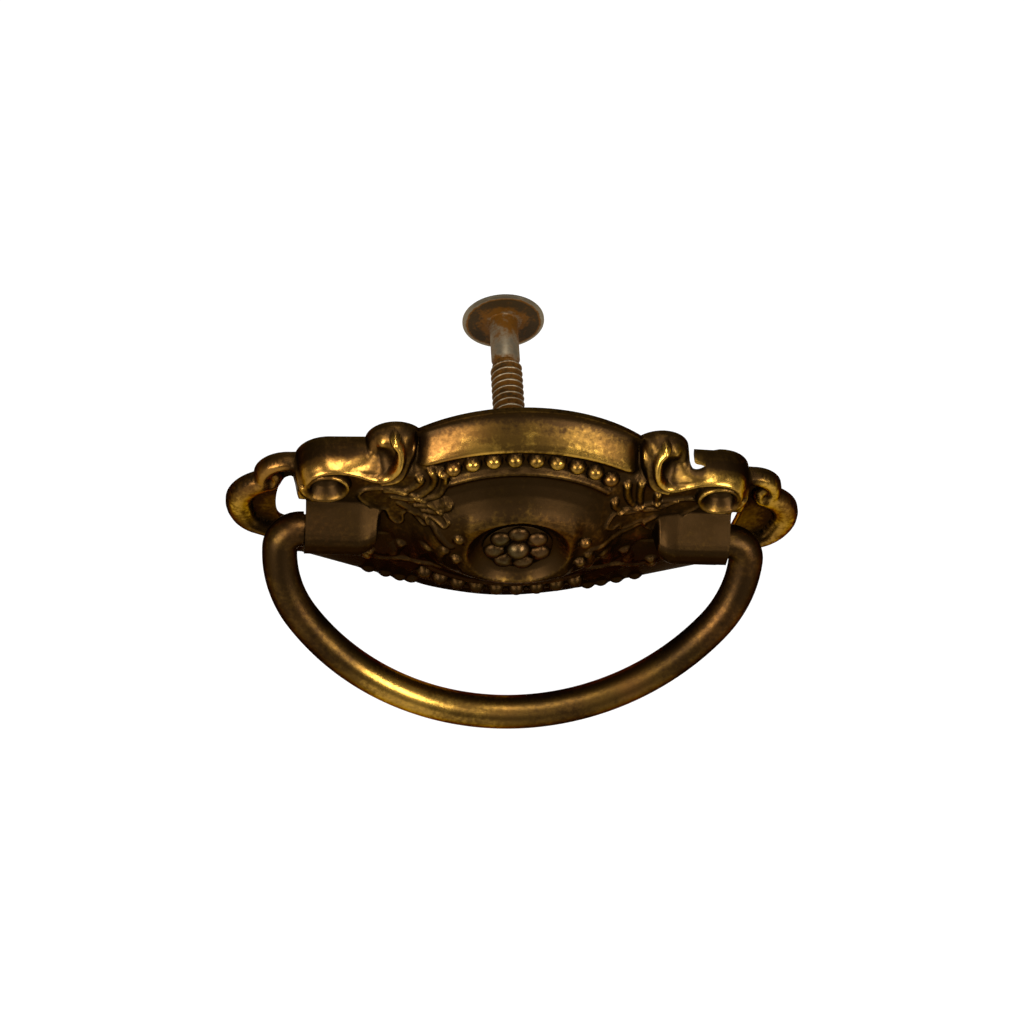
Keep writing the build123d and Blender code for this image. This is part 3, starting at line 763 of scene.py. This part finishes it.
def patina_group():
    """Shared effect: old brass, brown where it is kept, gold where it is worn and where highlights are painted, with a
    copper blush, and dull dust that also serves as painted shade.
    """
    tree, into, out = new_group(
        "Old brass patina", ("Brown", "Bronze", "Gold", "Blush", "Dust"), ("Rubbed", "Dusty", "Grain"),
        ("Color", "Roughness", "Height"))
    broad = noise(tree, 170.0, 4.0, 0.6)
    fine = noise(tree, 1500.0, 4.0, 0.65)
    copper = noise(tree, 75.0, 2.0, 0.5)
    patches = sum_up(tree, "ADD", about_zero(tree, broad, 0.9), about_zero(tree, fine, into["Grain"]))
    rubbed = sum_up(tree, "ADD", into["Rubbed"], patches, clamp=True)
    colour = blend_colour(tree, stretch(tree, rubbed, 0.05, 0.55), into["Brown"], into["Bronze"])
    colour = blend_colour(tree, stretch(tree, rubbed, 0.5, 1.0), colour, into["Gold"])
    blushed = sum_up(tree, "MULTIPLY", stretch(tree, copper, 0.46, 0.68, 0.0, 0.7), rubbed)
    colour = blend_colour(tree, blushed, colour, into["Blush"])
    dusty = sum_up(tree, "MULTIPLY", into["Dusty"], stretch(tree, broad, 0.35, 0.65, 0.35, 1.0))
    dulled = sum_up(tree, "MULTIPLY", dusty, 0.08)
    feed(tree, blend_colour(tree, dusty, colour, into["Dust"]), out["Color"])
    feed(tree, sum_up(tree, "ADD", stretch(tree, rubbed, 0.1, 0.9, 0.4, 0.26), dulled), out["Roughness"])
    feed(tree, sum_up(tree, "ADD", fine, broad), out["Height"])


def rust_group():
    """Shared effect: old steel with rust blooming over it."""
    tree, into, out = new_group(
        "Rusted steel", ("Steel", "Rust", "Crust"), ("Rusty",), ("Color", "Roughness", "Metallic", "Height"))
    broad = noise(tree, 260.0, 5.0, 0.65)
    fine = noise(tree, 1800.0, 3.0, 0.6)
    patches = sum_up(tree, "ADD", about_zero(tree, broad, 1.3), about_zero(tree, fine, 0.5))
    bloom = sum_up(tree, "ADD", into["Rusty"], patches, clamp=True)
    colour = blend_colour(tree, stretch(tree, bloom, 0.2, 0.65), into["Steel"], into["Rust"])
    feed(tree, blend_colour(tree, stretch(tree, bloom, 0.7, 1.0), colour, into["Crust"]), out["Color"])
    feed(tree, stretch(tree, bloom, 0.1, 0.8, 0.38, 0.75), out["Roughness"])
    feed(tree, stretch(tree, bloom, 0.2, 0.7, 0.9, 0.15), out["Metallic"])
    feed(tree, sum_up(tree, "ADD", broad, fine), out["Height"])


def new_material(name):
    """New material, with its nodes and its shader."""
    material = bpy.data.materials.new(name)
    material.use_nodes = True
    return material, material.node_tree, material.node_tree.nodes["Principled BSDF"]


def start_finish(name, effect, colours, layers):
    """New material whose shader and bump take a shared effect, with its own colours and the piece's layers."""
    material, tree, shader = new_material(name)
    group = node(tree, "ShaderNodeGroup", node_tree=bpy.data.node_groups[effect])
    for key, colour in colours.items():
        group.inputs[key].default_value = (*colour, 1.0)
    for key in layers:
        reader = node(tree, "ShaderNodeAttribute", attribute_name=key.lower())
        tree.links.new(reader.outputs["Fac"], group.inputs[key])
    bump = node(tree, "ShaderNodeBump", Strength=0.25, Distance=0.00006)
    tree.links.new(group.outputs["Height"], bump.inputs["Height"])
    tree.links.new(bump.outputs["Normal"], shader.inputs["Normal"])
    tree.links.new(group.outputs["Color"], shader.inputs["Base Color"])
    tree.links.new(group.outputs["Roughness"], shader.inputs["Roughness"])
    return material, tree, shader, group


def brass_finish(name, brass, grain=1.0, **own):
    """Old brass for one piece, worn and dust-covered where its layers say, which also carry painted highlights and
    painted shade.
    """
    colours = {key.title(): own.get(key, getattr(brass, key)) for key in BRASS_COLOURS}
    material, _, shader, group = start_finish(name, "Old brass patina", colours, ("Rubbed", "Dusty"))
    group.inputs["Grain"].default_value = grain
    set_up(shader, Metallic=1.0, Specular_Tint=(0.3, 0.22, 0.12, 1.0))
    return material


def steel_finish(name, rusty, **colours):
    """Rusted steel for one piece, evenly or where its layer says."""
    layers = ("Rusty",) if rusty is None else ()
    colours = {key.title(): colour for key, colour in colours.items()}
    material, tree, shader, group = start_finish(name, "Rusted steel", colours, layers)
    if rusty is not None:
        group.inputs["Rusty"].default_value = rusty
    tree.links.new(group.outputs["Metallic"], shader.inputs["Metallic"])
    set_up(shader, Specular_IOR_Level=0.1, Specular_Tint=(0.6, 0.5, 0.4, 1.0))
    return material


def colour_prop(name, description, default):
    """Colour that a user may change."""
    return bpy.props.FloatVectorProperty(
        name=name, description=description, subtype="COLOR", size=3, min=0.0, max=1.0, default=default)


def length_prop(name, description, default):
    """Length that a user may change, from its default in millimetres."""
    return bpy.props.FloatProperty(
        name=name, description=description, default=default * MM, unit="LENGTH", precision=5)


BRASS_COLOURS = ("brown", "bronze", "gold", "blush", "dust")
SIZES = ("sheet", "rod", "pin", "pitch", "crest")


class PULL_PG_brass(bpy.types.PropertyGroup):
    """Colours of the old brass."""

    # The gold also colours painted highlights, and the brown and the dust also colour painted shade.
    brown: colour_prop("Brown", "Kept patina in the hollows and on flat faces", (0.022, 0.011, 0.0035))
    bronze: colour_prop("Bronze", "Half rubbed brass", (0.08, 0.041, 0.008))
    gold: colour_prop("Gold", "Rubbed brass on crests and edges", (0.39, 0.214, 0.035))
    blush: colour_prop("Blush", "Copper red patches", (0.11, 0.037, 0.011))
    dust: colour_prop("Dust", "Dull dust in the hollows", (0.012, 0.006, 0.0017))


class PULL_PG_sizes(bpy.types.PropertyGroup):
    """Sizes of the finer work."""

    sheet: length_prop("Sheet", "Thickness of the pressed plate", 0.7)
    rod: length_prop("Rod radius", "Radius of the bail's rod", 2.5)
    pin: length_prop("Pin radius", "Radius of the bail's turned-down ends", 2.1)
    pitch: length_prop("Thread pitch", "Pitch of the screw's thread", 1.15)
    crest: length_prop("Thread radius", "Radius over the thread's crests", 2.4)


# Spacing of the points in each patch of the plate's face, and the patch's box
PLATE_PATCHES = (
    (0.16, 10.0, 32.0, -1.5, 19.5), (0.16, -32.0, -10.0, -1.5, 19.5),
    (0.21, -9.9, 9.9, -8.0, HALF_HEIGHT),
    (0.21, 10.0, 16.5, 19.6, HALF_HEIGHT), (0.21, -16.5, -10.0, 19.6, HALF_HEIGHT),
    (0.25, 10.0, 32.0, -8.0, -1.6), (0.25, -32.0, -10.0, -8.0, -1.6),
    (0.3, 32.1, REACH, -8.0, HALF_HEIGHT), (0.3, -REACH, -32.1, -8.0, HALF_HEIGHT),
    (0.35, -REACH, REACH, -HALF_HEIGHT, -8.2),
)
BACK_PATCH = (0.7, 0.35, -REACH, REACH, -HALF_HEIGHT, HALF_HEIGHT)


def plate_shell(sheet):
    """Plate with its carved face, its back and the rims between them, and the points and triangles of its face."""
    loops = [TORN_OUTLINE, hole_outline(RIGHT_HOLE, 1.0), hole_outline(LEFT_HOLE, -1.0)]
    patches = [inner_points(loops, step, 0.6 * step, *box) for step, *box in PLATE_PATCHES]
    verts, faces = sheet_triangles(loops, *np.concatenate(patches, axis=1))
    x, z = verts.T
    height = plate_face(x, z)
    front = np.column_stack([x, -height, z])
    verts, back_faces = sheet_triangles(loops, *inner_points(loops, *BACK_PATCH))
    back_x, back_z = verts.T
    face = plate_face(back_x, back_z)
    torn = ease(2.4, 1.2, near_distance(back_x, back_z, TEAR, 3.0)) * ease(22.5, 23.2, back_x)
    depth = np.maximum(back_face(back_x, back_z, sheet), np.maximum(face - 0.45, 0.0) * torn)
    depth = np.minimum(depth, np.maximum(face - 0.35, 0.0))
    back = np.column_stack([back_x, -depth, back_z])
    shift, first = len(front), 0
    polys = faces.tolist() + (back_faces[:, ::-1] + shift).tolist()
    for loop in loops:
        for i, j in chain(len(loop), closed=True):
            polys.append([first + i, first + j, shift + first + j, shift + first + i])
        first += len(loop)
    return new_object("plate", np.vstack([front, back]), faces=polys), x, z, height, faces


class PULL_OT_plate(bpy.types.Operator):
    """Model the carved plate and finish it in old brass"""

    bl_idname = "pull.plate"
    bl_label = "Plate"

    def execute(self, context):
        plate, x, z, height, faces = plate_shell(context.scene.pull_sizes.sheet / MM)
        close_up(plate)
        smooth(plate, 50.0)
        # Layers of wear and dust, which also carry painted highlights and painted shade.
        rubbed, dusty = plate_patina(x, z, height, faces)
        behind = np.ones(len(plate.data.vertices) - len(x))
        write_layers(plate, rubbed=np.append(rubbed, 0.3 * behind), dusty=np.append(dusty, 0.2 * behind))
        finish = brass_finish("carved old brass", context.scene.pull_brass)
        finish_piece(plate, "root", "plate_brass", finish, "backplate")
        return {"FINISHED"}


def hanging(x, drop):
    """Point of the bail's middle line: sideways and down its leaning plane, in metres."""
    return (HINGE + Vector((x, -math.sin(BAIL_LEAN) * drop, -math.cos(BAIL_LEAN) * drop))) * MM


def choose(mesh, test):
    """Selects the vertices that pass a test on their place in millimetres."""
    work = bmesh.from_edit_mesh(mesh)
    for v in work.verts:
        v.select = test(v.co / MM)
    work.select_mode = {"VERT"}
    work.select_flush_mode()
    bmesh.update_edit_mesh(mesh)


class PULL_OT_bail(bpy.types.Operator):
    """Bend the bail from a round rod with turned-down ends"""

    bl_idname = "pull.bail"
    bl_label = "Bail"

    def execute(self, context):
        sizes = context.scene.pull_sizes
        half_span = BAIL_HIGH.x - sizes.rod / MM
        start, offset, rise = half_span - BAIL_BEND, half_span - BAIL_SIDE, BAIL_DROP - BAIL_BEND
        bottom = (offset ** 2 + rise ** 2 - BAIL_SIDE ** 2) / (2 * (rise - BAIL_SIDE))
        turn = math.atan2(BAIL_BEND - (BAIL_DROP - bottom), offset)
        end = hanging(start, 0.0)
        deselect()
        bpy.ops.mesh.primitive_circle_add(vertices=40, radius=sizes.rod, location=end, rotation=(0.0, math.pi / 2, 0.0))
        rod = context.object
        rod.name = "bail_rod"
        bpy.ops.object.transform_apply(location=True, rotation=True, scale=True)

        # Upper bend, side and half of the grip
        edit(rod)
        axis = Vector((0.0, -math.cos(BAIL_LEAN), math.sin(BAIL_LEAN)))
        for steps, angle, centre in (
            (14, math.pi / 2, hanging(start, BAIL_BEND)),
            (26, turn, hanging(offset, BAIL_BEND)),
            (70, math.pi / 2 - turn, hanging(0.0, BAIL_DROP - bottom)),
        ):
            bpy.ops.mesh.spin(steps=steps, angle=angle, center=centre, axis=axis)

        # Pin, stepped down from the rod and rounded at its end
        choose(rod.data, lambda p: abs(p.x - start) < 0.001)
        pin = sizes.pin / sizes.rod
        for inwards, size in ((0.27, 1.0), (0.0, pin), (4.73, 1.0), (0.4, 0.82)):
            bpy.ops.mesh.extrude_region()
            bpy.ops.transform.translate(value=(-inwards * MM, 0.0, 0.0))
            bpy.ops.transform.resize(value=(1.0, size, size), center_override=end)
        bpy.ops.mesh.edge_face_add()
        bpy.ops.object.mode_set(mode="OBJECT")
        mirror = rod.modifiers.new("Other half", "MIRROR")
        mirror.merge_threshold = 0.00005
        bpy.ops.object.modifier_apply(modifier=mirror.name)
        close_up(rod, 0.00003)
        smooth(rod, 40.0)
        x, _, z = places_of(rod).T
        # Painted highlight: gold laid in along the lower left, the bottom middle and the right of the rod, on top of
        # the wear where the grip is held.
        streak = hill(x, -14.0, 9.0) + 0.6 * hill(x, 0.0, 4.0) + 0.5 * hill(x, 18.0, 7.0)
        write_layers(rod, rubbed=0.12 + 0.75 * ease(-8.0, -20.0, z) * streak, dusty=np.zeros(len(x)))
        finish = brass_finish("bent rod brass", context.scene.pull_brass, grain=0.6)
        finish_piece(rod, "bail", "bail_brass", finish, "bail")
        return {"FINISHED"}


# Rosette: the bowl's floor, where its petals sit round the heart, and the post's radius and depth
BOWL_FLOOR = BOWL_FACE[0]
PETAL_ANGLES = (95.0, 142.0, 192.0, 240.0, 290.0, 346.0, 42.0)
PETAL_CIRCLE = 3.3
POST_PROFILE = (
    (2.48, -1.1), (3.4, -1.1), (3.4, -1.8), (2.9, -1.8), (2.9, -3.0), (3.3, -3.0), (3.3, -BOWL_FLOOR),
    (4.95, -BOWL_FLOOR), (5.0, -BOWL_FLOOR - 0.35), (4.7, -BOWL_FLOOR - 0.6), (0.0, -BOWL_FLOOR - 0.65),
    (0.0, -5.8), (2.48, -5.8),
)


def ball(radius, segments, rings, depth=0.0):
    """Ball in front of the plate's back, with its poles to the front and back."""
    deselect()
    bpy.ops.mesh.primitive_uv_sphere_add(
        segments=segments, ring_count=rings, radius=radius * MM, location=(0.0, -depth * MM, 0.0),
        rotation=(math.pi / 2, 0.0, 0.0))
    bpy.ops.object.transform_apply(location=True, rotation=True, scale=False)
    return bpy.context.object


def petal(angle):
    """Petal at an angle round the heart, narrowed towards it."""
    made = ball(1.35, 24, 14)
    edit(made)
    bpy.ops.transform.resize(value=(1.22, 0.75, 1.25), center_override=(0.0, 0.0, 0.0))
    choose(made.data, lambda p: p.z < -0.5)
    bpy.ops.transform.resize(value=(0.7, 0.9, 1.0), center_override=(0.0, 0.0, 0.0))
    bpy.ops.object.mode_set(mode="OBJECT")
    place = Vector((PETAL_CIRCLE * math.cos(angle), -BOWL_FLOOR - 0.55, PETAL_CIRCLE * math.sin(angle))) * MM
    made.data.transform(Matrix.Translation(place) @ Matrix.Rotation(math.pi / 2 - angle, 4, "Y"))
    return made


class PULL_OT_rosette(bpy.types.Operator):
    """Model the rosette with its petals and post"""

    bl_idname = "pull.rosette"
    bl_label = "Rosette"

    def execute(self, context):
        flower = [ball(1.85, 28, 16, BOWL_FLOOR + 0.5)]
        flower += [petal(math.radians(degrees)) for degrees in PETAL_ANGLES]
        body = spun("rosette", POST_PROFILE, True, 48)
        join(body, *flower)
        smooth(body, 45.0)
        rise = -places_of(body)[:, 1] - BOWL_FLOOR
        write_layers(body, rubbed=0.05 + 0.4 * ease(0.9, 1.6, rise), dusty=0.7 * ease(1.1, 0.6, rise))
        finish = brass_finish(
            "grey rosette brass", context.scene.pull_brass, bronze=(0.045, 0.033, 0.013), gold=(0.24, 0.17, 0.06))
        finish_piece(body, "root", "rosette_brass", finish, "rosette_post")
        return {"FINISHED"}


# Screw: places along its axis, its shank, its head's slot, and rust by radius under and over the head
SCREW_TIP = SCREW_LOW.y
THREAD_END = SCREW_TIP + 31.0
UNDER_HEAD = SCREW_HIGH.y - 1.3
SHANK_RADIUS = 2.15
THREAD_DEPTH = 0.5
SLOT_SIZE = (14.0, 1.4, 1.2)
HEAD_RING = (2.3, 3.2, 4.2, 5.3, 5.9, 6.2)
HEAD_RUST = (0.6, 0.8, 1.0, 1.0, 0.1, 0.0)


def screw_blank(root):
    """Screw without its thread, with a slot across its head."""
    profile = [(0.0, SCREW_TIP), (root - 0.3, SCREW_TIP), (root, SCREW_TIP + 0.4), (root, THREAD_END - 0.3)]
    profile += [(SHANK_RADIUS, THREAD_END + 0.1), (SHANK_RADIUS, UNDER_HEAD - 0.15)]
    profile += [(r, UNDER_HEAD) for r in HEAD_RING[:-1]]
    for r, rise in ((6.2, 0.18), (6.2, 0.42), (5.9, 0.62), (4.6, 0.9), (2.6, 1.2), (0.0, 1.3)):
        profile.append((r, UNDER_HEAD + rise))
    screw = spun("screw_thread", profile, False, 56)
    deselect()
    bpy.ops.mesh.primitive_cube_add(
        size=1.0, location=(0.0, SCREW_HIGH.y * MM, 0.0), scale=[side * MM for side in SLOT_SIZE])
    cutter = bpy.context.object
    take(screw)
    slot = screw.modifiers.new("Slot", "BOOLEAN")
    slot.object = cutter
    bpy.ops.object.modifier_apply(modifier=slot.name)
    take(cutter)
    bpy.ops.object.delete()
    return screw


def thread_ridge(root, crest, pitch):
    """Ridge of the thread, which fades out at both ends."""
    section = (
        (root - 0.25, -0.5), (root, -0.46), (crest - 0.15, -0.14), (crest - 0.02, -0.05), (crest, 0.0),
        (crest - 0.02, 0.05), (crest - 0.15, 0.14), (root, 0.46), (root - 0.25, 0.5),
    )
    corners = [(r, 0.0, share * pitch) for r, share in section]
    ridge = take(new_object("ridge", corners, chain(len(corners), closed=True)))
    turns = int((THREAD_END - SCREW_TIP - 1.0) / pitch)
    helix = ridge.modifiers.new("Thread", "SCREW")
    helix.axis = "Z"
    helix.angle = math.tau * turns
    helix.screw_offset = pitch * MM * turns
    helix.steps = helix.render_steps = 40 * turns
    helix.use_merge_vertices = False
    bpy.ops.object.modifier_apply(modifier=helix.name)
    edit(ridge)
    bpy.ops.mesh.select_all(action="DESELECT")
    bpy.ops.mesh.select_non_manifold(
        extend=False, use_wire=False, use_multi_face=False, use_non_contiguous=False, use_verts=False)
    bpy.ops.mesh.fill_holes(sides=0)
    close_up(ridge)
    lay_back = Matrix.Rotation(-math.pi / 2, 4, "X")
    ridge.data.transform(Matrix.Translation((0.0, (SCREW_TIP + 0.7) * MM, 0.0)) @ lay_back)
    places = places_of(ridge)
    x, along, z = places.T
    radius, flat = np.hypot(x, z), root - 0.1
    fade = ease(SCREW_TIP + 0.6, SCREW_TIP + 2.2, along) * (1.0 - ease(THREAD_END - 1.8, THREAD_END - 0.3, along))
    scale = np.where(radius > flat, (flat + (radius - flat) * fade) / radius, 1.0)
    places[:, [0, 2]] *= scale[:, None]
    ridge.data.vertices.foreach_set("co", (places * MM).ravel())
    return ridge


class PULL_OT_screw(bpy.types.Operator):
    """Turn the screw with its thread and wide head"""

    bl_idname = "pull.screw"
    bl_label = "Screw"

    def execute(self, context):
        sizes = context.scene.pull_sizes
        crest = sizes.crest / MM
        root = crest - THREAD_DEPTH
        screw = screw_blank(root)
        join(screw, thread_ridge(root, crest, sizes.pitch / MM))
        smooth(screw, 38.0)
        x, along, z = places_of(screw).T
        radius = np.hypot(x, z)
        neck = ease(UNDER_HEAD - 2.5, UNDER_HEAD - 0.4, along) * (1.0 - ease(3.2, 5.8, radius))
        rusty = 0.75 - 0.6 * ease(THREAD_END - 1.0, THREAD_END + 0.6, along) + 0.6 * neck
        rusty = rusty - 0.6 * ease(crest - 0.1, crest - 0.03, radius) * (along < THREAD_END)
        rusty = np.where(along > UNDER_HEAD - 0.01, np.interp(radius, HEAD_RING, HEAD_RUST), rusty)
        write_layers(screw, rusty=np.clip(rusty, 0.0, 1.0))
        finish = steel_finish(
            "rusted screw steel", None,
            steel=(0.15, 0.118, 0.074), rust=(0.058, 0.021, 0.0015), crust=(0.018, 0.0095, 0.0025))
        finish_piece(screw, "root", "screw_steel", finish, "screw")
        return {"FINISHED"}


class PULL_OT_strap(bpy.types.Operator):
    """Finish the strap behind the plate in dull rusted steel"""

    bl_idname = "pull.strap"
    bl_label = "Back strap"

    def execute(self, context):
        strap = frame["nodes"]["back_strap"]
        finish = steel_finish(
            "dull strap steel", 0.5,
            steel=(0.11, 0.095, 0.07), rust=(0.08, 0.03, 0.009), crust=(0.03, 0.014, 0.006))
        strap.data.materials.clear()
        strap.data.materials.append(finish)
        return {"FINISHED"}


# Stage, in metres: lamps with their place, size and power, and the camera's axes and distance
FLOOR_HEIGHT = -0.09
WORLD_STRENGTH = 0.25
LAMPS = (
    ("lamp_left", (-0.54, -0.52, 0.38), 0.4, 9.5),
    ("lamp_right", (0.47, -0.55, 0.52), 0.36, 9.5),
    ("lamp_top", (-0.05, -0.14, 0.8), 0.3, 5.0),
)
EYE_RIGHT, EYE_UP, EYE_BACK = (0.9909, -0.0520, 0.1237), (-0.0300, 0.8127, 0.5818), (-0.1307, -0.5802, 0.8039)
EYE_DISTANCE = 0.4


def soft_lamp(name, place, size, power):
    """Square studio lamp at a place, facing the pull."""
    lamp = bpy.data.lights.new(name, "AREA")
    lamp.size = size
    lamp.energy = power
    obj = bpy.data.objects.new(name, lamp)
    obj.location = place
    obj.rotation_euler = (-Vector(place)).to_track_quat("-Z", "Y").to_euler()
    bpy.context.scene.collection.objects.link(obj)


def seen_white(tree, plain, white):
    """Mixes a plain shader with a white one for what the camera, gloss and glass see."""
    path = tree.nodes.new("ShaderNodeLightPath").outputs
    seen = sum_up(tree, "MAXIMUM", path["Is Camera Ray"], path["Is Glossy Ray"])
    seen = sum_up(tree, "MAXIMUM", seen, path["Is Transmission Ray"])
    return blend_shader(tree, seen, plain, white)


class PULL_OT_stage(bpy.types.Operator):
    """Set the pale floor, the soft lamps and the camera"""

    bl_idname = "pull.stage"
    bl_label = "Stage"

    def execute(self, context):
        scene = context.scene
        scene.view_settings.view_transform = "Standard"
        deselect()
        bpy.ops.mesh.primitive_plane_add(size=6.0, location=(0.0, 0.0, FLOOR_HEIGHT))
        floor = context.object
        floor.name = "floor"
        material, tree, shader = new_material("pale floor")
        set_up(shader, Base_Color=(0.9, 0.9, 0.9, 1.0), Roughness=0.9, Specular_IOR_Level=0.0)
        glow = node(tree, "ShaderNodeEmission", Strength=1.0)
        paper = blend_shader(tree, 0.85, shader.outputs[0], glow.outputs[0])
        seen = seen_white(tree, shader.outputs[0], paper)
        tree.links.new(seen, tree.nodes["Material Output"].inputs["Surface"])
        floor.data.materials.append(material)

        world = bpy.data.worlds.new("studio")
        scene.world = world
        world.use_nodes = True
        set_up(world.node_tree.nodes["Background"], Color=(1.0, 1.0, 1.0, 1.0), Strength=WORLD_STRENGTH)
        for lamp in LAMPS:
            soft_lamp(*lamp)

        camera = bpy.data.cameras.new("camera")
        camera.lens = 97.6
        camera.sensor_width = 36.0
        camera.shift_x, camera.shift_y = -0.0030, -0.0076
        camera.clip_start, camera.clip_end = 0.01, 20.0
        eye = bpy.data.objects.new("camera", camera)
        turn = Matrix((EYE_RIGHT, EYE_UP, EYE_BACK)).transposed().to_4x4()
        eye.matrix_world = Matrix.Translation(Vector(EYE_BACK) * EYE_DISTANCE) @ turn
        scene.collection.objects.link(eye)
        scene.camera = eye
        return {"FINISHED"}


class PULL_PT_panel(bpy.types.Panel):
    """Pieces of the bail pull, in the order of making"""

    bl_idname = "PULL_PT_panel"
    bl_label = "Bail pull"
    bl_space_type = "VIEW_3D"
    bl_region_type = "UI"
    bl_category = "Bail pull"

    def draw(self, context):
        for name in BRASS_COLOURS:
            self.layout.prop(context.scene.pull_brass, name)
        for name in SIZES:
            self.layout.prop(context.scene.pull_sizes, name)
        for operator in MAKERS:
            self.layout.operator(operator.bl_idname)


MAKERS = (PULL_OT_plate, PULL_OT_bail, PULL_OT_rosette, PULL_OT_screw, PULL_OT_strap, PULL_OT_stage)
CLASSES = (PULL_PG_brass, PULL_PG_sizes, *MAKERS, PULL_PT_panel)


def register():
    for made in CLASSES:
        bpy.utils.register_class(made)
    bpy.types.Scene.pull_brass = bpy.props.PointerProperty(type=PULL_PG_brass)
    bpy.types.Scene.pull_sizes = bpy.props.PointerProperty(type=PULL_PG_sizes)


def unregister():
    del bpy.types.Scene.pull_sizes
    del bpy.types.Scene.pull_brass
    for made in reversed(CLASSES):
        bpy.utils.unregister_class(made)


def main():
    register()
    patina_group()
    rust_group()
    bpy.ops.pull.plate()
    bpy.ops.pull.bail()
    bpy.ops.pull.rosette()
    bpy.ops.pull.screw()
    bpy.ops.pull.strap()
    bpy.ops.pull.stage()


if __name__ == "__main__":
    main()
